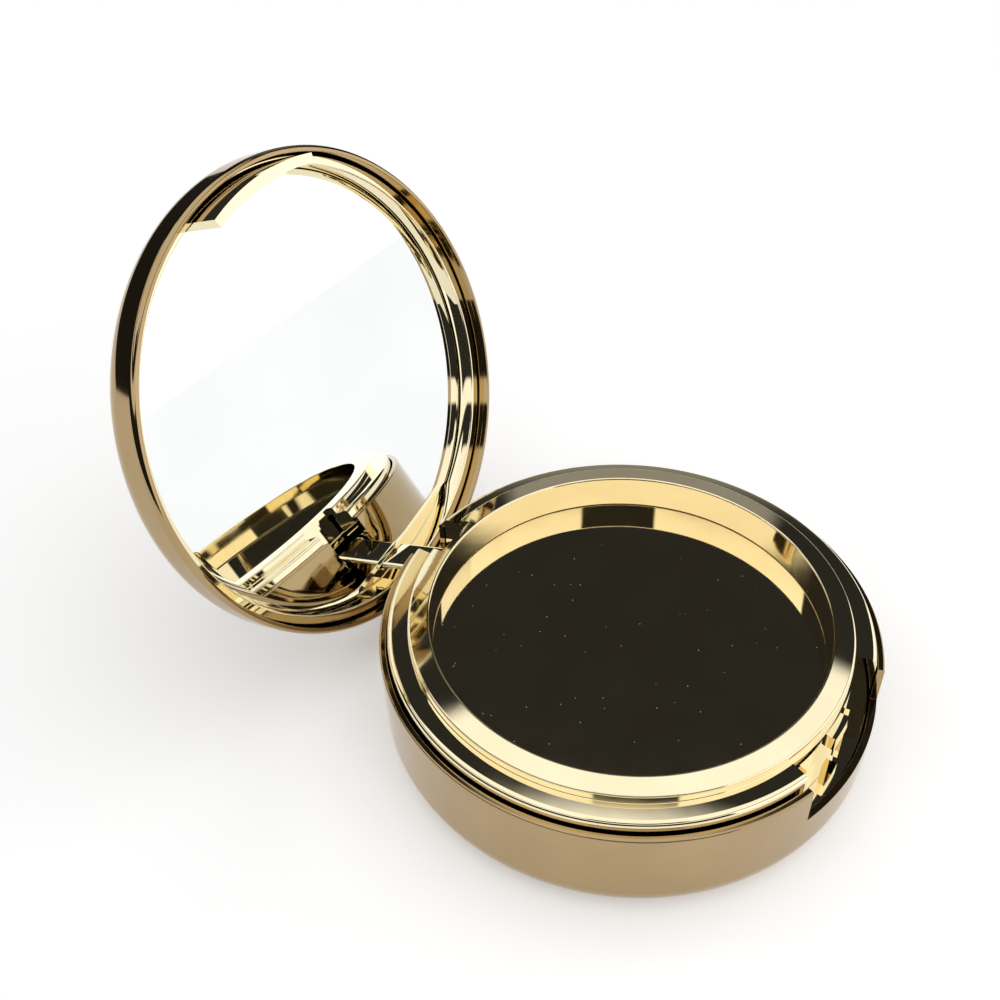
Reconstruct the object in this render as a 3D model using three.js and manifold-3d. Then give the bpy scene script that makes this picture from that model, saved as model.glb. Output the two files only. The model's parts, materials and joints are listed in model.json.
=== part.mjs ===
import * as THREE from 'three';
import { mergeVertices } from 'three/addons/utils/BufferGeometryUtils.js';
import Module from 'manifold-3d';

const wasm = await Module();
wasm.setup();

// Round hinged powder compact. Millimetres, +Z up, origin at the centre of the underside.
// The hinge is at +Y with its axis along X, and the latch is at -Y.

// Driving dimensions
const OUTER_R = 37; // outside radius of base and lid
const RIM = 17; // height of the base shell's rim
const WALL = 1; // thickness of the two plated shells
const GAP = 0.3; // clearance between touching pieces
const BASE_ROUND = 5.2; // radius of the base's lower edge
const LID_HEIGHT = 8.7; // base rim to the top of the closed lid
const LID_ROUND = 4.8; // radius of the lid's upper edge
const LID_ROOF = 0.8; // thickness of the lid's top
const OPEN_ANGLE = 109.5; // lid angle from closed, degrees
const SEGMENTS = 80; // facets around the large rings

// Frame ring and refill well, heights from the base rim
const NECK_R = 32.5; // outside of the neck that the lid closes over
const NECK_TOP = 3.4;
const BORE_R = 29.4; // inside of the neck
const SHOULDER_TOP = 1.8;
const SKIRT_R = OUTER_R - WALL - GAP; // 35.7
const SKIRT_BOTTOM = -5;
const SKIN = 1.1; // wall thickness of the frame and the well's floor
const FLOOR_TOP = -2;

// Hinge, from the base rim
const HINGE_Y = 33.5;
const HINGE_DROP = 5.7;
const HINGE_Z = RIM - HINGE_DROP;
const PIN_R = 0.8;
const BORE_CLEARANCE = 0.3;
const KNUCKLE_R = 2.1;
const KNUCKLE_HALF = 3.5;
const ARM_HALF = 3.1; // half width of the arm between the knuckle and the lid
const ARM_Y = [31, 33.4];
const ARM_ROOT_Y = [32.1, 34.8]; // the root stands behind the mirror's straight edge
const SLOT_HALF = 3.9; // half width of the rear slot for the knuckle
const SLOT_Y = 30.6; // the slot cuts through the neck as far as this
const SLOT_BOTTOM = -11;
const EAR_HALF = 8.6; // half width across the two ears
const EAR_Y = [30.9, 36];
const EAR_BOTTOM = -10;
const REAR_NOTCH_DROP = 8; // the open lid's arm passes over this edge

// Latch, from the base rim
const LATCH_ANGLE = -93; // direction of the latch's middle, degrees from +X
const NOTCH_ANGLE = 19.3; // half angles
const NOTCH_DROP = 6.3;
const TAB_ANGLE = 16.8;
const TAB_DROP = 4.7;
const TAB_OUTER_R = 35.5;
const TAB_INNER_R = 34.1;
const POCKET_BOTTOM = -8.2;
const POCKET_LEDGE = 1.1; // thickness of the pocket's floor
const POCKET_SIDE = 2.5; // angle that each side wall covers
const POCKET_LAP = 1.5; // angle by which the back wall passes the notch
const LATCH_WALL_R = 32.9;
const CATCH = { radius: 33.9, low: -3, high: -0.6, half: 4 };
const PAD = { radius: 33.5, low: -7.2, high: -1.6, half: 3.6, angle: 11 };
const HOOK = { radius: 33.7, low: -4.3, high: -3.3, half: 8 };

// Lid interior, heights from the base rim in the closed position
const MIRROR_FACE = 5;
const MIRROR_THICK = 1;
const MIRROR_R = 33.9;
const MIRROR_BEVEL = 1.4; // width of the ground edge
const BEVEL_DEPTH = 0.45;
const CHORD_DISTANCE = 31; // centre to the mirror's straight edge
const MIRROR_TURN = -8.2; // the straight edge is set askew of the hinge, degrees
const MIRROR_SEAT = MIRROR_FACE + MIRROR_THICK + GAP;
const TAPE_R = 28.5;
const LID_FRAME_RIM = 2.4;

// Well floor's foot ring and the weight
const FOOT_RING = [26.3, 27.5];
const WEIGHT_R = 24;
const WEIGHT_TOP = -13.6;
const WEIGHT_THICK = 1.4;
const FAR = 40; // reach of cutting tools beyond the outside

const rad = (degrees) => THREE.MathUtils.degToRad(degrees);
const FRONT = rad(LATCH_ANGLE);

// Materials
const plated = (color) => new THREE.MeshStandardMaterial({ color, roughness: 0.12, metalness: 1 });
const gold = plated(0xd9b778);
const wellGold = plated(0xe3bd62);
const steel = new THREE.MeshStandardMaterial({ color: 0xb9bcc0, roughness: 0.3, metalness: 1 });
const silver = new THREE.MeshStandardMaterial({ color: 0xf2f5f5, roughness: 0.02, metalness: 1 });
const tape = new THREE.MeshStandardMaterial({ color: 0xe8e6df, roughness: 0.9, metalness: 0 });

// Solids

function toSolid(geometry) {
  const bare = geometry.clone();
  for (const key of Object.keys(bare.attributes)) {
    if (key !== 'position') bare.deleteAttribute(key);
  }
  const merged = mergeVertices(bare, 1e-4);
  const index = merged.index.array;
  const position = merged.attributes.position;
  const corner = (i) => new THREE.Vector3().fromBufferAttribute(position, i);
  const triangles = [];
  let volume = 0;
  for (let i = 0; i < index.length; i += 3) {
    const [a, b, c] = [index[i], index[i + 1], index[i + 2]];
    if (a === b || b === c || c === a) continue;
    triangles.push([a, b, c]);
    volume += corner(a).dot(corner(b).cross(corner(c)));
  }
  const outward = triangles.map(([a, b, c]) => (volume > 0 ? [a, b, c] : [a, c, b]));
  return new wasm.Manifold(new wasm.Mesh({
    numProp: 3,
    vertProperties: new Float32Array(position.array),
    triVerts: new Uint32Array(outward.flat()),
  }));
}

function toMesh(name, solid, material) {
  const { vertProperties, triVerts } = solid.getMesh();
  const geometry = new THREE.BufferGeometry();
  geometry.setAttribute('position', new THREE.BufferAttribute(vertProperties, 3));
  geometry.setIndex(new THREE.BufferAttribute(triVerts, 1));
  geometry.computeVertexNormals();
  const mesh = new THREE.Mesh(geometry, material);
  mesh.name = name;
  return mesh;
}

// Solid of revolution about Z from [radius, height] points measured from the base rim.
function revolve(points) {
  const closed = points[0][0] > 0 ? [...points, points[0]] : points;
  const profile = closed.map(([r, z]) => new THREE.Vector2(r, z + RIM));
  return toSolid(new THREE.LatheGeometry(profile, SEGMENTS).rotateX(Math.PI / 2));
}

// Points of an arc in the [radius, height] plane, angles in degrees.
function arc(r, z, radius, from, to, steps) {
  return Array.from({ length: steps + 1 }, (_, i) => {
    const angle = rad(from + ((to - from) * i) / steps);
    return [r + radius * Math.cos(angle), z + radius * Math.sin(angle)];
  });
}

// Piece of a ring, centred on an angle, heights from the base rim.
function sector(inner, outer, low, high, centre, half, steps = 12) {
  const shape = new THREE.Shape();
  shape.absarc(0, 0, outer, centre - half, centre + half, false);
  shape.absarc(0, 0, inner, centre + half, centre - half, true);
  const options = { depth: high - low, bevelEnabled: false, curveSegments: steps };
  return toSolid(new THREE.ExtrudeGeometry(shape, options).translate(0, 0, low + RIM));
}

function block(x, y, z) {
  const size = [x, y, z].map(([low, high]) => high - low);
  const middle = [x, y, z].map(([low, high]) => (low + high) / 2);
  return toSolid(new THREE.BoxGeometry(...size).translate(middle[0], middle[1], middle[2] + RIM));
}

// Rod along X through the hinge axis.
function hingeRod(radius, half) {
  const rod = new THREE.CylinderGeometry(radius, radius, 2 * half, 24).rotateZ(Math.PI / 2);
  return toSolid(rod.translate(0, HINGE_Y, HINGE_Z));
}

function disc(radius, low, high) {
  return revolve([[0, low], [radius, low], [radius, high], [0, high]]);
}

// Base

function baseShell() {
  const inner = OUTER_R - WALL;
  const floor = -RIM + WALL + 0.1;
  const cup = revolve([
    [0, -RIM],
    ...arc(OUTER_R - BASE_ROUND, -RIM + BASE_ROUND, BASE_ROUND, -90, 0, 6),
    [OUTER_R, -0.3],
    [OUTER_R - 0.25, 0],
    [inner + 0.3, 0],
    [inner, -0.4],
    ...arc(inner - BASE_ROUND + WALL, floor + BASE_ROUND - WALL, BASE_ROUND - WALL, 0, -90, 5),
    [0, floor],
  ]);
  const latchNotch = sector(30, FAR, -NOTCH_DROP, 2, FRONT, rad(NOTCH_ANGLE));
  const hingeNotch = block([-SLOT_HALF, SLOT_HALF], [30, FAR], [-REAR_NOTCH_DROP, 2]);
  return cup.subtract(latchNotch).subtract(hingeNotch);
}

function frameRing() {
  return revolve([
    [BORE_R, FLOOR_TOP + GAP],
    [BORE_R, NECK_TOP - 0.3],
    [BORE_R + 0.3, NECK_TOP],
    ...arc(NECK_R - 0.4, NECK_TOP - 0.4, 0.4, 90, 0, 2),
    [NECK_R, SHOULDER_TOP],
    ...arc(SKIRT_R - 0.8, SHOULDER_TOP - 0.8, 0.8, 90, 0, 3),
    [SKIRT_R, SKIRT_BOTTOM],
    [SKIRT_R - SKIN, SKIRT_BOTTOM],
    [SKIRT_R - SKIN, SHOULDER_TOP - SKIN],
    [NECK_R - SKIN, SHOULDER_TOP - SKIN],
    [NECK_R - SKIN, NECK_TOP - SKIN],
    [BORE_R + SKIN, NECK_TOP - SKIN],
    [BORE_R + SKIN, FLOOR_TOP + GAP],
  ]);
}

// Pocket in the front of the frame that takes the lid's tab, with the catch on its back wall.
function latchPocket() {
  const half = rad(NOTCH_ANGLE);
  const reach = half + rad(POCKET_LAP);
  const rib = rad(POCKET_SIDE / 2);
  const root = LATCH_WALL_R - 0.5;
  const inner = LATCH_WALL_R - 1;
  const ledgeTop = POCKET_BOTTOM + POCKET_LEDGE;
  const back = sector(inner, LATCH_WALL_R, POCKET_BOTTOM, SHOULDER_TOP - 0.3, FRONT, reach);
  const ledge = sector(inner, SKIRT_R, POCKET_BOTTOM, ledgeTop, FRONT, reach);
  const sides = [-1, 1].map((side) =>
    sector(inner, SKIRT_R, POCKET_BOTTOM, SHOULDER_TOP - SKIN, FRONT + side * (half + rib), rib, 2));
  const bump = ({ radius, low, high, half: spread }, turn) =>
    sector(root, radius, low, high, FRONT + turn, rad(spread), 4);
  const pads = [-1, 1].map((side) => bump(PAD, side * rad(PAD.angle)));
  return [ledge, ...sides, bump(CATCH, 0), ...pads].reduce((sum, piece) => sum.add(piece), back);
}

// Block under the shoulder that carries the pin on both sides of the knuckle's slot.
function hingeBlock() {
  const body = block([-EAR_HALF, EAR_HALF], EAR_Y, [EAR_BOTTOM, SHOULDER_TOP - 0.9]);
  return body.intersect(disc(SKIRT_R - 0.1, SLOT_BOTTOM, SHOULDER_TOP));
}

function middleFrame() {
  const above = NECK_TOP + 1;
  const frontCut = sector(LATCH_WALL_R - 0.3, FAR, POCKET_BOTTOM - 1, above, FRONT, rad(NOTCH_ANGLE));
  const rearCut = block([-SLOT_HALF, SLOT_HALF], [SLOT_Y, FAR], [SLOT_BOTTOM, above]);
  return frameRing()
    .subtract(frontCut)
    .add(latchPocket())
    .add(hingeBlock())
    .subtract(rearCut)
    .subtract(hingeRod(PIN_R + BORE_CLEARANCE, EAR_HALF + 2));
}

// Floor of the refill well, just under the neck's bore. Its foot ring stands in the base shell.
function wellFloor() {
  const outer = BORE_R + SKIN;
  const underside = FLOOR_TOP - SKIN;
  const foot = -RIM + WALL + 0.1 + GAP;
  return revolve([
    [0, FLOOR_TOP],
    [outer, FLOOR_TOP],
    [outer, underside],
    [FOOT_RING[1], underside],
    [FOOT_RING[1], foot],
    [FOOT_RING[0], foot],
    [FOOT_RING[0], underside],
    [0, underside],
  ]);
}

// Lid, drawn closed

const lidInnerRound = LID_ROUND - (WALL + LID_ROOF) / 2;

function lidShell() {
  const inner = OUTER_R - WALL;
  const roof = LID_HEIGHT - LID_ROOF;
  return revolve([
    [0, LID_HEIGHT],
    ...arc(OUTER_R - LID_ROUND, LID_HEIGHT - LID_ROUND, LID_ROUND, 90, 0, 6),
    ...arc(OUTER_R - 0.8, GAP + 0.8, 0.8, 0, -90, 2),
    [inner + 0.1, GAP],
    [inner, GAP + 0.2],
    ...arc(inner - lidInnerRound, roof - lidInnerRound, lidInnerRound, 0, 90, 6),
    [0, roof],
  ]);
}

// Cup inside the lid shell: its plate backs the mirror and its ring frames it.
function lidFrameCup() {
  const roof = LID_HEIGHT - LID_ROOF;
  const inner = MIRROR_R + 0.4;
  const recess = TAPE_R + 0.5;
  return revolve([
    [0, MIRROR_SEAT + 2 * GAP],
    [recess, MIRROR_SEAT + 2 * GAP],
    [recess, MIRROR_SEAT],
    [inner, MIRROR_SEAT],
    [inner, LID_FRAME_RIM + 0.3],
    [inner + 0.3, LID_FRAME_RIM],
    [SKIRT_R, LID_FRAME_RIM],
    ...arc(SKIRT_R - lidInnerRound + GAP, roof - lidInnerRound, lidInnerRound - GAP, 0, 90, 6),
    [0, roof - GAP],
  ]);
}

// Arm that reaches from the lid's plate down to the pin.
function hingeArm() {
  const across = [-ARM_HALF, ARM_HALF];
  const root = block(across, ARM_ROOT_Y, [0, MIRROR_SEAT + 0.2]);
  const arm = block(across, ARM_Y, [-HINGE_DROP, MIRROR_FACE - GAP]);
  const barrel = hingeRod(KNUCKLE_R, KNUCKLE_HALF);
  const bore = hingeRod(PIN_R + BORE_CLEARANCE, KNUCKLE_HALF + 1);
  return arm.add(root).add(barrel).subtract(bore);
}

// Curved plate that drops into the base's notch, with the hook that snaps under the catch.
function latchTab() {
  const half = rad(TAB_ANGLE);
  const plate = sector(TAB_INNER_R, TAB_OUTER_R, -TAB_DROP, LID_FRAME_RIM + 1, FRONT, half);
  const hook = sector(HOOK.radius, TAB_INNER_R + 0.5, HOOK.low, HOOK.high, FRONT, rad(HOOK.half), 6);
  return plate.add(hook);
}

function lidFrame() {
  return lidFrameCup().add(hingeArm()).add(latchTab());
}

// Glass disc with one straight side, its front edge ground to a shallow bevel.
function mirror() {
  const back = MIRROR_FACE + MIRROR_THICK;
  const glass = revolve([
    [0, MIRROR_FACE],
    [MIRROR_R - MIRROR_BEVEL, MIRROR_FACE],
    [MIRROR_R, MIRROR_FACE + BEVEL_DEPTH],
    [MIRROR_R, back],
    [0, back],
  ]);
  const slope = THREE.MathUtils.radToDeg(Math.atan2(BEVEL_DEPTH, MIRROR_BEVEL));
  const deep = 9;
  const beyondChord = block([-FAR, FAR], [0, deep], [-deep, deep]).translate([0, CHORD_DISTANCE, 0]);
  const ground = block([-FAR, FAR], [0, deep], [-deep, 0])
    .translate([0, 0, -RIM])
    .rotate([slope, 0, 0])
    .translate([0, CHORD_DISTANCE - MIRROR_BEVEL, MIRROR_FACE + RIM]);
  const turned = (cutter) => cutter.rotate([0, 0, MIRROR_TURN]);
  return glass.subtract(turned(beyondChord)).subtract(turned(ground));
}

// Assembly

const weightBottom = WEIGHT_TOP - WEIGHT_THICK;
const base = new THREE.Group();
base.add(
  toMesh('base_shell', baseShell(), gold),
  toMesh('middle_frame', middleFrame(), gold),
  toMesh('well_floor', wellFloor(), wellGold),
  toMesh('weight_disc', disc(WEIGHT_R, weightBottom, WEIGHT_TOP), steel),
  toMesh('weight_tape', disc(WEIGHT_R - 1, weightBottom - 2 * GAP, weightBottom - GAP), tape),
  toMesh('hinge_pin', hingeRod(PIN_R, EAR_HALF - 0.4), steel),
);

const lid = new THREE.Group();
lid.position.set(0, -HINGE_Y, -HINGE_Z);
lid.add(
  toMesh('lid_shell', lidShell(), gold),
  toMesh('lid_frame', lidFrame(), gold),
  toMesh('mirror', mirror(), silver),
  toMesh('mirror_tape', disc(TAPE_R, MIRROR_SEAT, MIRROR_SEAT + GAP), tape),
);

const hinge = new THREE.Group();
hinge.position.set(0, HINGE_Y, HINGE_Z);
hinge.rotation.x = rad(-OPEN_ANGLE);
hinge.add(lid);

const compact = new THREE.Group();
compact.add(base, hinge);

export default compact;
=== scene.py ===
"""Round gold powder compact, open and empty: refill well below, mirror in the hinged lid."""

import json
import math

import bmesh
import bpy
from mathutils import Matrix, Vector


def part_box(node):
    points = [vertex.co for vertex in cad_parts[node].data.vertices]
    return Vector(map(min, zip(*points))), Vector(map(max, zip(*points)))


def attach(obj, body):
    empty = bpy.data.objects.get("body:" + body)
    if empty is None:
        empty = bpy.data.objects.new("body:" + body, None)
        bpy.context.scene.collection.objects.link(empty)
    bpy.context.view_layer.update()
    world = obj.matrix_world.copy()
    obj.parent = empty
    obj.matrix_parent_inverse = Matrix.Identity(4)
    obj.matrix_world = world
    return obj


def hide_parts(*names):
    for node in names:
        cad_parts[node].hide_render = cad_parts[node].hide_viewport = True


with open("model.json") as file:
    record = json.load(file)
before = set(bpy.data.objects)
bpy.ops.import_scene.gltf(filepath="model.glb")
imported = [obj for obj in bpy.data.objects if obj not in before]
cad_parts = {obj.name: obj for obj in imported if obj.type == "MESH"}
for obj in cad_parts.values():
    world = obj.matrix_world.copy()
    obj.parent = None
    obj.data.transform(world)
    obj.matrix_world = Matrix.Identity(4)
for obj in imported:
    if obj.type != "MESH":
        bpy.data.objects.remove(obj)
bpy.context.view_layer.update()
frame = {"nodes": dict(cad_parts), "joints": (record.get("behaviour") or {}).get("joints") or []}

# Sizes are millimetres here. Heights are measured from the base shell's rim, and lid pieces
# are drawn closed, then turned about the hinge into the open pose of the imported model.
MM = 0.001
shell_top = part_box("base_shell")[1] / MM
joint = frame["joints"][0]
OUTER_R = shell_top.x
RIM = shell_top.z
HINGE_Y = joint["pos_m"][1] / MM
HINGE_Z = joint["pos_m"][2] / MM - RIM
OPEN_ANGLE = math.radians(-joint["range_deg"][0])
SEGMENTS = 360

WALL = 1.0
BASE_ROUND = 5.2
LID_HEIGHT = 8.7
LID_ROUND = 4.8
LID_ROOF = 0.8
RIM_GAP = 0.3
SEAM = 0.3

NECK_R = 32.5
BORE_R = 29.4
BORE_DRAFT = 0.25
LIP_INNER = 3.5
LIP_OUTER = 3.2
SHOULDER_TOP = 1.8
SKIRT_R = OUTER_R - WALL - SEAM
SKIRT_BOTTOM = -5.0
SKIN = 1.1
FLOOR_TOP = -2.0
BORE_BOTTOM = FLOOR_TOP + 0.12
FOOT_RING = (26.3, 27.5)

# Reaches past the outside of every piece, for cuts
FAR = 40.0

SLOT_HALF = 3.9
SLOT_Y = 30.6
SLOT_BOTTOM = -11.0
EAR_HALF = 8.6
EAR_Y = (30.9, 36.0)
EAR_BOTTOM = -10.0
REAR_NOTCH_DROP = 8.0
PIN_BORE = 1.1
KNUCKLE_R = 2.1
KNUCKLE_HALF = 3.5
ARM_HALF = 3.1
ARM_Y = (31.0, 33.4)
ARM_ROOT_Y = (32.1, 34.8)

FRONT = math.radians(-93)
NOTCH_ANGLE = math.radians(19.3)
NOTCH_DROP = 6.3
TAB_ANGLE = math.radians(16.8)
TAB_DROP = 4.7
TAB_OUTER_R = 35.5
TAB_INNER_R = 34.1
HOOK_R = 33.7
HOOK_Z = (-4.3, -3.3)
HOOK_HALF = math.radians(8)

# Pocket behind the latch notch: its back wall, ledge and side ribs, a catch and two stop pads
POCKET_R = 32.9
POCKET_BOTTOM = -8.2
LEDGE_TOP = -7.1
RIB_ANGLE = math.radians(2.5)
RIB_Z = (-8.1, 0.6)
POCKET_REACH = math.radians(1.5)
CATCH_R = 33.9
CATCH_Z = (-3.0, -0.6)
CATCH_HALF = math.radians(4)
PAD_R = 33.5
PAD_Z = (-7.0, -1.6)
PAD_ANGLE = math.radians(11)
PAD_HALF = math.radians(3.6)

MIRROR_FACE = 5.0
MIRROR_BACK = 6.0
MIRROR_R = 33.9
MIRROR_BEVEL = 1.4
BEVEL_DEPTH = 0.45
CHORD_DISTANCE = 31.0
MIRROR_TURN = math.radians(-8.2)
MIRROR_SEAT = MIRROR_BACK + SEAM
TAPE_R = 28.5
LID_FRAME_RIM = 2.4
LID_INNER_ROUND = LID_ROUND - (WALL + LID_ROOF) / 2
ARM_ROUND = 0.6

SHELL_EDGE = 0.12
FRAME_EDGE = 0.08
GLASS_EDGE = 0.04


# Meshes

def rounded(corners, closed):
    """Outline points from (radius, height, fillet) corners, with each fillet drawn as an arc."""
    points = []
    count = len(corners)
    for i, (r, z, fillet) in enumerate(corners):
        here = Vector((r, z))
        if fillet == 0 or (not closed and i in (0, count - 1)):
            points.append(here)
            continue
        before = (Vector(corners[i - 1][:2]) - here).normalized()
        after = (Vector(corners[(i + 1) % count][:2]) - here).normalized()
        half = before.angle(after) / 2
        centre = here + (before + after).normalized() * (fillet / math.sin(half))
        start = here + before * (fillet / math.tan(half)) - centre
        turn = start.angle_signed(here + after * (fillet / math.tan(half)) - centre)
        steps = max(3, math.ceil(abs(turn) / math.radians(9)))
        for step in range(steps + 1):
            points.append(centre + Matrix.Rotation(-turn * step / steps, 2) @ start)
    return points


def swept(corners, start=0.0, end=2 * math.pi, closed=True, segments=SEGMENTS):
    """Solid made by turning an outline about Z, the whole way round or over one sector."""
    whole = end - start > 2 * math.pi - 1e-6
    outline = rounded(corners, closed)
    steps = segments if whole else max(2, round(segments * (end - start) / (2 * math.pi)))
    bm = bmesh.new()
    rows = []
    for step in range(steps if whole else steps + 1):
        angle = start + (end - start) * step / steps
        rows.append([
            bm.verts.new((p.x * math.cos(angle), p.x * math.sin(angle), p.y)) for p in outline
        ])
    spans = len(outline) if closed else len(outline) - 1
    for step in range(steps):
        row, following = rows[step], rows[(step + 1) % len(rows)]
        for i in range(spans):
            j = (i + 1) % len(outline)
            bm.faces.new((row[i], row[j], following[j], following[i]))
    if not whole:
        bm.faces.new(rows[0])
        bm.faces.new(reversed(rows[-1]))
    bmesh.ops.remove_doubles(bm, verts=bm.verts, dist=1e-5)
    bmesh.ops.dissolve_degenerate(bm, edges=bm.edges, dist=1e-6)
    bmesh.ops.recalc_face_normals(bm, faces=bm.faces)
    return bm


def sector(inner, outer, low, high, centre, half):
    corners = [(inner, low, 0), (outer, low, 0), (outer, high, 0), (inner, high, 0)]
    return swept(corners, centre - half, centre + half)


def plug(radius, low, high):
    """Plain disc on the axis, for trimming other solids."""
    return swept([(0, low, 0), (radius, low, 0), (radius, high, 0), (0, high, 0)], closed=False)


def block(x, y, z):
    bm = bmesh.new()
    size = [high - low for low, high in (x, y, z)]
    middle = [(high + low) / 2 for low, high in (x, y, z)]
    place = Matrix.Translation(middle) @ Matrix.Diagonal((*size, 1))
    bmesh.ops.create_cube(bm, size=1, matrix=place)
    return bm


def long_rounded(x, y, z, radius):
    """Block whose upright edges are rounded."""
    bm = block(x, y, z)
    upright = [e for e in bm.edges if abs(e.verts[0].co.z - e.verts[1].co.z) > 0.1]
    bmesh.ops.bevel(
        bm, geom=upright, offset=radius, offset_type="OFFSET", segments=5, profile=0.5,
        affect="EDGES",
    )
    return bm


def hinge_rod(radius, half):
    """Rod along X through the hinge axis."""
    bm = bmesh.new()
    turn = Matrix.Rotation(math.pi / 2, 4, "Y")
    place = Matrix.Translation((0, HINGE_Y, HINGE_Z)) @ turn
    bmesh.ops.create_cone(
        bm, cap_ends=True, segments=64, radius1=radius, radius2=radius, depth=2 * half,
        matrix=place,
    )
    return bm


def as_object(bm, name):
    mesh = bpy.data.meshes.new(name)
    bm.to_mesh(mesh)
    bm.free()
    obj = bpy.data.objects.new(name, mesh)
    bpy.context.scene.collection.objects.link(obj)
    return obj


def combine(bm, steps):
    """The first solid with each (operation, solid) joined to it, cut from it or met with it."""
    target = as_object(bm, "target")
    for operation, tool_bm in steps:
        tool = as_object(tool_bm, "tool")
        modifier = target.modifiers.new("combine", "BOOLEAN")
        modifier.operation = operation
        modifier.solver = "EXACT"
        modifier.object = tool
        depsgraph = bpy.context.evaluated_depsgraph_get()
        result = bpy.data.meshes.new_from_object(target.evaluated_get(depsgraph))
        target.modifiers.clear()
        target.data = result
        bpy.data.objects.remove(tool)
    out = bmesh.new()
    out.from_mesh(target.data)
    bpy.data.objects.remove(target)
    return out


def soften(bm, width, angle=math.radians(40)):
    """Narrow rounding of every edge sharper than the angle."""
    bmesh.ops.remove_doubles(bm, verts=bm.verts, dist=0.002)
    bmesh.ops.dissolve_limit(
        bm, angle_limit=math.radians(0.05), verts=bm.verts, edges=bm.edges, delimit=set()
    )
    edges = [e for e in bm.edges if len(e.link_faces) == 2 and e.calc_face_angle(0) > angle]
    bmesh.ops.bevel(
        bm, geom=edges, offset=width, offset_type="OFFSET", segments=2, profile=0.5,
        affect="EDGES", clamp_overlap=True, loop_slide=True,
    )
    return bm


def turned_normal(face, place):
    """The face's normal as it is at a place further round the axis."""
    middle = face.calc_center_median()
    turn = math.atan2(place.y, place.x) - math.atan2(middle.y, middle.x)
    return Matrix.Rotation(turn, 3, "Z") @ face.normal


def is_turned(face):
    """Whether a face lies on a surface of revolution about Z."""
    for vert in face.verts:
        along = Vector((-vert.co.y, vert.co.x, 0))
        if along.length < 1:
            return False
        if abs(along.normalized().dot(face.normal)) > 0.02:
            return False
    return True


def corner_normals(bm, smooth=math.radians(30)):
    """One normal for each face corner, exact round the axis and smooth across fillets."""
    turned = {face: is_turned(face) for face in bm.faces}
    areas = {face: face.calc_area() for face in bm.faces}
    normals = []
    for face in bm.faces:
        for loop in face.loops:
            place = loop.vert.co
            own = turned_normal(face, place) if turned[face] else face.normal
            total = Vector((0, 0, 0))
            for other in loop.vert.link_faces:
                normal = turned_normal(other, place) if turned[other] else other.normal
                if normal.angle(own, 0) < smooth:
                    total += normal * areas[other]
            normals.append(total.normalized())
    return normals


def closed_lid_to_open():
    """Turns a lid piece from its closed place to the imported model's open one."""
    there = Matrix.Translation((0, HINGE_Y, HINGE_Z))
    return there @ Matrix.Rotation(-OPEN_ANGLE, 4, "X") @ there.inverted()


def piece(bm, name, body, node, material):
    """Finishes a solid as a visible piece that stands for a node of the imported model."""
    bmesh.ops.remove_doubles(bm, verts=bm.verts, dist=0.0005)
    bm.normal_update()
    place = Matrix.Scale(MM, 4) @ Matrix.Translation((0, 0, RIM))
    if body == "lid":
        place = place @ closed_lid_to_open()
    normals = corner_normals(bm)
    obj = as_object(bm, name)
    turn = place.to_3x3().normalized()
    obj.data.shade_smooth()
    obj.data.transform(place)
    obj.data.normals_split_custom_set([turn @ n for n in normals])
    obj.data.materials.append(material)
    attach(obj, body)
    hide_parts(node)
    return obj


# Materials

class Nodes:
    """Short names for building a node tree."""

    def __init__(self, tree):
        self.tree = tree
        tree.nodes.clear()

    def add(self, kind, inputs=(), **settings):
        node = self.tree.nodes.new(kind)
        for key, value in settings.items():
            setattr(node, key, value)
        for socket, value in dict(inputs).items():
            self.put(node.inputs[socket], value)
        return node

    def put(self, socket, value):
        if isinstance(value, bpy.types.NodeSocket):
            self.tree.links.new(value, socket)
        else:
            socket.default_value = value

    def math(self, operation, a, b=0.0):
        return self.add("ShaderNodeMath", {0: a, 1: b}, operation=operation).outputs[0]

    def noise(self, place, scale, detail=2.0):
        node = self.add("ShaderNodeTexNoise", {"Vector": place, "Scale": scale, "Detail": detail})
        return node.outputs["Fac"]

    def ramp(self, factor, stops):
        node = self.add("ShaderNodeValToRGB", {"Fac": factor})
        elements = node.color_ramp.elements
        while len(elements) < len(stops):
            elements.new(0.5)
        for element, (position, colour) in zip(elements, stops):
            element.position = position
            element.color = (*colour, 1)
        return node.outputs["Color"]

    def spread(self, value, low, high, to_low, to_high, kind="LINEAR"):
        inputs = {
            "Value": value,
            "From Min": low,
            "From Max": high,
            "To Min": to_low,
            "To Max": to_high,
        }
        return self.add("ShaderNodeMapRange", inputs, interpolation_type=kind).outputs["Result"]


def new_material(name):
    material = bpy.data.materials.new(name)
    material.use_nodes = True
    return material, Nodes(material.node_tree)


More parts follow.
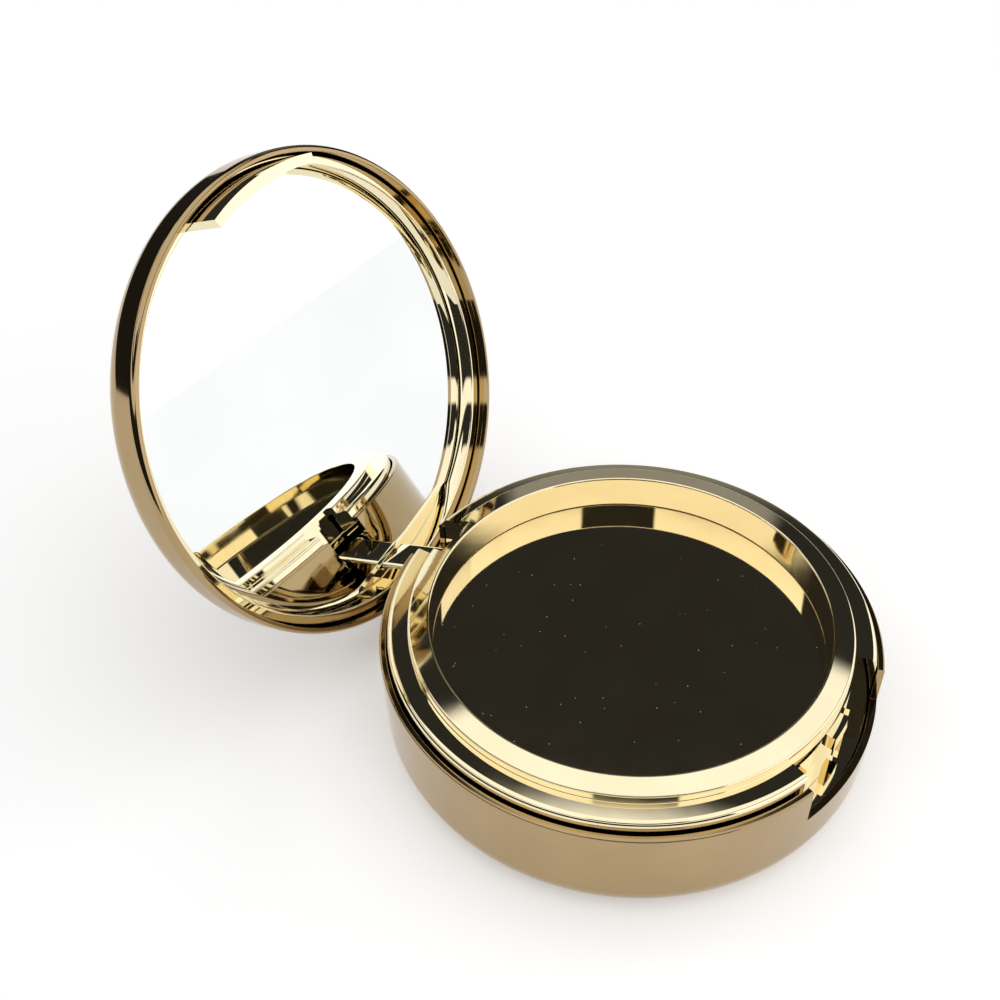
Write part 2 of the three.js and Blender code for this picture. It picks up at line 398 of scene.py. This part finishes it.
def plated(name, colour, shade, roughness, dust=0.0):
    """Mirror plating: slight tone drift, soft smudges, fine waviness and specks of powder."""
    material, nodes = new_material(name)
    place = nodes.add("ShaderNodeTexCoord").outputs["Object"]
    tone = nodes.ramp(nodes.noise(place, 90), [(0.35, shade), (0.65, colour)])
    smudge = nodes.noise(place, 160, 4)
    rough = nodes.spread(smudge, 0.3, 0.75, roughness * 0.6, roughness * 1.6)
    wave = nodes.noise(place, 240, 1)
    bump = nodes.add("ShaderNodeBump", {"Strength": 0.04, "Distance": 0.0001, "Height": wave})
    inputs = {
        "Base Color": tone,
        "Roughness": rough,
        "Metallic": 1.0,
        "Normal": bump.outputs["Normal"],
    }
    if dust > 0:
        cells = nodes.add(
            "ShaderNodeTexVoronoi", {"Vector": place, "Scale": 760.0, "Randomness": 1.0}
        )
        speck = nodes.math("LESS_THAN", cells.outputs["Distance"], dust)
        keep = nodes.math("GREATER_THAN", nodes.noise(place, 700, 0), 0.53)
        mask = nodes.math("MULTIPLY", speck, keep)
        powder = nodes.add(
            "ShaderNodeMix",
            {"Factor": mask, "A": tone, "B": (0.8, 0.74, 0.66, 1)},
            data_type="RGBA",
        )
        inputs["Base Color"] = powder.outputs[2]
        inputs["Metallic"] = nodes.math("SUBTRACT", 1.0, mask)
        inputs["Roughness"] = nodes.math("MAXIMUM", rough, nodes.math("MULTIPLY", mask, 0.8))
    shader = nodes.add("ShaderNodeBsdfPrincipled", inputs)
    out = nodes.add("ShaderNodeOutputMaterial")
    nodes.put(out.inputs["Surface"], shader.outputs["BSDF"])
    return material


def simple(name, colour, shade, roughness, metallic, scale):
    """Plain satin material with a fine mottled tone."""
    material, nodes = new_material(name)
    place = nodes.add("ShaderNodeTexCoord").outputs["Object"]
    grain = nodes.noise(place, scale, 3)
    shader = nodes.add("ShaderNodeBsdfPrincipled", {
        "Base Color": nodes.ramp(grain, [(0.3, shade), (0.7, colour)]),
        "Roughness": nodes.spread(grain, 0.3, 0.7, roughness * 0.8, roughness * 1.2),
        "Metallic": metallic,
    })
    out = nodes.add("ShaderNodeOutputMaterial")
    nodes.put(out.inputs["Surface"], shader.outputs["BSDF"])
    return material


def glass_mirror():
    """Silvered glass with the faintest smudges."""
    material, nodes = new_material("mirror_glass")
    place = nodes.add("ShaderNodeTexCoord").outputs["Object"]
    smudge = nodes.noise(place, 60, 4)
    shader = nodes.add("ShaderNodeBsdfPrincipled", {
        "Base Color": nodes.ramp(smudge, [(0.3, (0.9, 0.92, 0.92)), (0.7, (0.95, 0.96, 0.96))]),
        "Roughness": nodes.spread(smudge, 0.55, 0.8, 0.0, 0.03),
        "Metallic": 1.0,
    })
    out = nodes.add("ShaderNodeOutputMaterial")
    nodes.put(out.inputs["Surface"], shader.outputs["BSDF"])
    return material


# The shells' gold is a darker copy of the frame's gold. This is painted shade standing in for the
# dimmer floor reflection on the shell walls.
shell_gold = plated("shell_gold", (0.43, 0.31, 0.16), (0.40, 0.285, 0.145), 0.06)
frame_gold = plated("frame_gold", (0.92, 0.81, 0.55), (0.88, 0.77, 0.51), 0.04)
well_gold = plated("well_gold", (0.92, 0.80, 0.54), (0.88, 0.75, 0.50), 0.04, dust=0.05)
mirror_glass = glass_mirror()
steel = simple("steel", (0.6, 0.6, 0.61), (0.48, 0.48, 0.49), 0.3, 1.0, 900)
tape = simple("tape", (0.78, 0.76, 0.7), (0.7, 0.68, 0.62), 0.85, 0.0, 400)


# Base pieces

def base_shell():
    inner = OUTER_R - WALL
    floor = -RIM + WALL + 0.1
    cup = swept([
        (0, -RIM, 0),
        (OUTER_R, -RIM, BASE_ROUND),
        (OUTER_R, 0, 0.3),
        (inner, 0, 0.12),
        (inner, floor, BASE_ROUND - WALL),
        (0, floor, 0),
    ], closed=False)
    latch_notch = sector(30, FAR, -NOTCH_DROP, 2, FRONT, NOTCH_ANGLE)
    hinge_notch = block((-SLOT_HALF, SLOT_HALF), (30, FAR), (-REAR_NOTCH_DROP, 2))
    cuts = [("DIFFERENCE", latch_notch), ("DIFFERENCE", hinge_notch)]
    return soften(combine(cup, cuts), SHELL_EDGE)


def middle_frame():
    ring = swept([
        (BORE_R - BORE_DRAFT, BORE_BOTTOM, 0.1),
        (BORE_R, LIP_INNER, 0.3),
        (NECK_R, LIP_OUTER, 0.35),
        (NECK_R, SHOULDER_TOP, 0.12),
        (SKIRT_R, SHOULDER_TOP, 0.8),
        (SKIRT_R, SKIRT_BOTTOM, 0),
        (SKIRT_R - SKIN, SKIRT_BOTTOM, 0),
        (SKIRT_R - SKIN, SHOULDER_TOP - SKIN, 0),
        (NECK_R - SKIN, SHOULDER_TOP - SKIN, 0),
        (NECK_R - SKIN, LIP_OUTER - SKIN, 0),
        (BORE_R + SKIN, LIP_OUTER - SKIN, 0),
        (BORE_R + SKIN, BORE_BOTTOM, 0),
    ])
    wide = NOTCH_ANGLE + POCKET_REACH
    joint_r = POCKET_R - 0.9
    front_cut = sector(POCKET_R - 0.3, FAR, -9, LIP_INNER + 1, FRONT, NOTCH_ANGLE)
    back = sector(POCKET_R - 1, POCKET_R, POCKET_BOTTOM, SHOULDER_TOP - 0.3, FRONT, wide)
    ledge = sector(joint_r, SKIRT_R, POCKET_BOTTOM, LEDGE_TOP, FRONT, wide)
    catch = sector(POCKET_R - 0.5, CATCH_R, *CATCH_Z, FRONT, CATCH_HALF)
    ribs = []
    pads = []
    for side in (-1, 1):
        rib_at = FRONT + side * (NOTCH_ANGLE + RIB_ANGLE / 2)
        ribs.append(sector(joint_r, SKIRT_R - 0.02, *RIB_Z, rib_at, RIB_ANGLE / 2))
        pad_at = FRONT + side * PAD_ANGLE
        pads.append(sector(POCKET_R - 0.5, PAD_R, *PAD_Z, pad_at, PAD_HALF))
    ears = combine(
        block((-EAR_HALF, EAR_HALF), EAR_Y, (EAR_BOTTOM, SHOULDER_TOP - 0.9)),
        [("INTERSECT", plug(SKIRT_R - 0.1, -12, 2))],
    )
    rear_cut = block((-SLOT_HALF, SLOT_HALF), (SLOT_Y, FAR), (SLOT_BOTTOM, LIP_INNER + 1))
    steps = [("DIFFERENCE", front_cut)]
    steps += [("UNION", part) for part in (back, ledge, *ribs, catch, *pads, ears)]
    steps += [
        ("DIFFERENCE", rear_cut),
        ("DIFFERENCE", hinge_rod(PIN_BORE, EAR_HALF + 2)),
    ]
    return soften(combine(ring, steps), FRAME_EDGE)


def well_floor():
    outer = BORE_R + SKIN
    underside = FLOOR_TOP - SKIN
    foot = -RIM + WALL + 0.1 + SEAM
    return soften(swept([
        (0, FLOOR_TOP, 0),
        (outer, FLOOR_TOP, 0.15),
        (outer, underside, 0),
        (FOOT_RING[1], underside, 0),
        (FOOT_RING[1], foot, 0),
        (FOOT_RING[0], foot, 0),
        (FOOT_RING[0], underside, 0),
        (0, underside, 0),
    ], closed=False), FRAME_EDGE)


# Lid pieces, drawn closed

def lid_shell():
    inner = OUTER_R - WALL
    roof = LID_HEIGHT - LID_ROOF
    return swept([
        (0, LID_HEIGHT, 0),
        (OUTER_R, LID_HEIGHT, LID_ROUND),
        (OUTER_R, RIM_GAP, 0.8),
        (inner, RIM_GAP, 0.12),
        (inner, roof, LID_INNER_ROUND),
        (0, roof, 0),
    ], closed=False)


def lid_frame():
    inner = MIRROR_R + 0.4
    recess = TAPE_R + 0.5
    roof = LID_HEIGHT - LID_ROOF - SEAM
    cup = swept([
        (0, MIRROR_SEAT + 2 * SEAM, 0),
        (recess, MIRROR_SEAT + 2 * SEAM, 0),
        (recess, MIRROR_SEAT, 0),
        (inner, MIRROR_SEAT, 0.2),
        (inner, LID_FRAME_RIM, 0.3),
        (SKIRT_R, LID_FRAME_RIM, 0.15),
        (SKIRT_R, roof, LID_INNER_ROUND - SEAM),
        (0, roof, 0),
    ], closed=False)
    across = (-ARM_HALF, ARM_HALF)
    arm = long_rounded(across, ARM_Y, (HINGE_Z, MIRROR_FACE - SEAM), ARM_ROUND)
    root = long_rounded(across, ARM_ROOT_Y, (0, MIRROR_SEAT + 0.2), ARM_ROUND)
    plate = sector(TAB_INNER_R, TAB_OUTER_R, -TAB_DROP, LID_FRAME_RIM + 1, FRONT, TAB_ANGLE)
    hook = sector(HOOK_R, TAB_INNER_R + 0.5, *HOOK_Z, FRONT, HOOK_HALF)
    return soften(combine(cup, [
        ("UNION", arm),
        ("UNION", root),
        ("UNION", hinge_rod(KNUCKLE_R, KNUCKLE_HALF)),
        ("DIFFERENCE", hinge_rod(PIN_BORE, KNUCKLE_HALF + 1)),
        ("UNION", plate),
        ("UNION", hook),
    ]), FRAME_EDGE)


def mirror():
    """Glass disc with one straight side, its front edge ground to a shallow bevel."""
    glass = swept([
        (0, MIRROR_FACE, 0),
        (MIRROR_R - MIRROR_BEVEL, MIRROR_FACE, 0),
        (MIRROR_R, MIRROR_FACE + BEVEL_DEPTH, 0),
        (MIRROR_R, MIRROR_BACK, 0),
        (0, MIRROR_BACK, 0),
    ], closed=False)
    turn = Matrix.Rotation(MIRROR_TURN, 4, "Z")
    beyond = block((-FAR, FAR), (CHORD_DISTANCE, CHORD_DISTANCE + 9), (0, 14))
    ground = block((-FAR, FAR), (0, 9), (-9, 0))
    slope = Matrix.Rotation(math.atan2(BEVEL_DEPTH, MIRROR_BEVEL), 4, "X")
    edge = Matrix.Translation((0, CHORD_DISTANCE - MIRROR_BEVEL, MIRROR_FACE))
    ground.transform(turn @ edge @ slope)
    beyond.transform(turn)
    cuts = [("DIFFERENCE", beyond), ("DIFFERENCE", ground)]
    return soften(combine(glass, cuts), GLASS_EDGE)


piece(base_shell(), "base_shell_fine", "base", "base_shell", shell_gold)
piece(middle_frame(), "middle_frame_fine", "base", "middle_frame", frame_gold)
piece(well_floor(), "well_floor_fine", "base", "well_floor", well_gold)
piece(lid_shell(), "lid_shell_fine", "lid", "lid_shell", shell_gold)
piece(lid_frame(), "lid_frame_fine", "lid", "lid_frame", frame_gold)
piece(mirror(), "mirror_fine", "lid", "mirror", mirror_glass)

for node, material in (
    ("hinge_pin", steel),
    ("weight_disc", steel),
    ("weight_tape", tape),
    ("mirror_tape", tape),
):
    frame["nodes"][node].data.materials.clear()
    frame["nodes"][node].data.materials.append(material)


# Studio

def floor_plane():
    bm = bmesh.new()
    bmesh.ops.create_circle(bm, cap_ends=True, segments=96, radius=3.0)
    floor = as_object(bm, "studio_floor")
    floor.location.z = -0.0001
    material, nodes = new_material("studio_floor")
    place = nodes.add("ShaderNodeTexCoord").outputs["Object"]
    grain = nodes.noise(place, 30)
    tone = nodes.ramp(grain, [(0.3, (0.955, 0.955, 0.955)), (0.7, (0.965, 0.965, 0.965))])
    shader = nodes.add("ShaderNodeBsdfPrincipled", {
        "Base Color": tone,
        "Roughness": 0.9,
        "Emission Color": (1, 1, 1, 1),
        "Emission Strength": 0.3,
    })
    out = nodes.add("ShaderNodeOutputMaterial")
    nodes.put(out.inputs["Surface"], shader.outputs["BSDF"])
    floor.data.materials.append(material)


# Light patches of the studio: azimuth of the middle, half width, lowest and highest
# elevation (degrees), and strength
PATCHES = (
    (0, 190, 56, 95, 1.45),
    (342, 20, 46.5, 56, 1.4),
    (215, 130, 29, 39, 1.5),
    (135, 57, 46, 56, 1.6),
    (280, 42, 46, 56, 1.6),
    (297, 48, -10, 29, 1.7),
    (24, 13, 16, 40, 0.33),
)
DARK = 0.03
PATCH_EDGE = 1.2

# Bearing, elevation and roll in degrees; place in millimetres along back, right and up
CAMERA_ANGLES = (-56.43, 41.07, -2.22)
CAMERA_PLACE = (170.49, -18.98, 18.40)
CAMERA_LENS = 41.21


def studio_world():
    """White tent with dark gaps, as soft-edged light patches round a dim room."""
    world = bpy.data.worlds.new("studio")
    bpy.context.scene.world = world
    world.use_nodes = True
    nodes = Nodes(world.node_tree)
    sky = nodes.add("ShaderNodeTexCoord").outputs["Generated"]
    x, y, z = nodes.add("ShaderNodeSeparateXYZ", {0: sky}).outputs
    height = nodes.math("DEGREES", nodes.math("ARCSINE", z))
    bearing = nodes.math("DEGREES", nodes.math("ARCTAN2", y, x))

    def patch(azimuth, half_width, low, high, strength):
        away = nodes.math("SUBTRACT", bearing, azimuth)
        turned = nodes.add("ShaderNodeMath", {0: away, 1: 180.0, 2: -180.0}, operation="WRAP")
        across = nodes.math("ABSOLUTE", turned.outputs[0])
        along = nodes.math("ABSOLUTE", nodes.math("SUBTRACT", height, (low + high) / 2))
        tall = (high - low) / 2
        edge = PATCH_EDGE
        wide = nodes.spread(across, half_width - edge, half_width + edge, 1, 0, "SMOOTHSTEP")
        rise = nodes.spread(along, tall - edge, tall + edge, 1, 0, "SMOOTHSTEP")
        return nodes.math("MULTIPLY", nodes.math("MULTIPLY", wide, rise), strength)

    total = DARK
    for values in PATCHES:
        total = nodes.math("ADD", total, patch(*values))
    seen = nodes.add("ShaderNodeLightPath").outputs["Is Camera Ray"]
    shown = nodes.add("ShaderNodeMix", {"Factor": seen, "A": total, "B": 1.0}, data_type="FLOAT")
    background = nodes.add("ShaderNodeBackground", {"Strength": shown.outputs[0]})
    out = nodes.add("ShaderNodeOutputWorld")
    nodes.put(out.inputs["Surface"], background.outputs["Background"])


def camera():
    """Camera above and in front of the latch's left, close enough to foreshorten the lid."""
    data = bpy.data.cameras.new("camera")
    data.sensor_width = 36
    data.lens = CAMERA_LENS
    data.clip_start = 0.01
    obj = bpy.data.objects.new("camera", data)
    bpy.context.scene.collection.objects.link(obj)
    azimuth, elevation, roll = (math.radians(v) for v in CAMERA_ANGLES)
    back = Vector((
        math.sin(azimuth) * math.cos(elevation),
        -math.cos(azimuth) * math.cos(elevation),
        math.sin(elevation),
    ))
    level = (-back).cross(Vector((0, 0, 1))).normalized()
    upright = level.cross(-back)
    right = level * math.cos(roll) + upright * math.sin(roll)
    up = upright * math.cos(roll) - level * math.sin(roll)
    behind, across, above = CAMERA_PLACE
    place = back * behind + right * across + up * above + Vector((0, 0, RIM))
    rows = Matrix((right, up, back)).transposed()
    obj.matrix_world = Matrix.Translation(place * MM) @ rows.to_4x4()
    bpy.context.scene.camera = obj


floor_plane()
studio_world()
camera()
bpy.context.scene.view_settings.view_transform = "Standard"
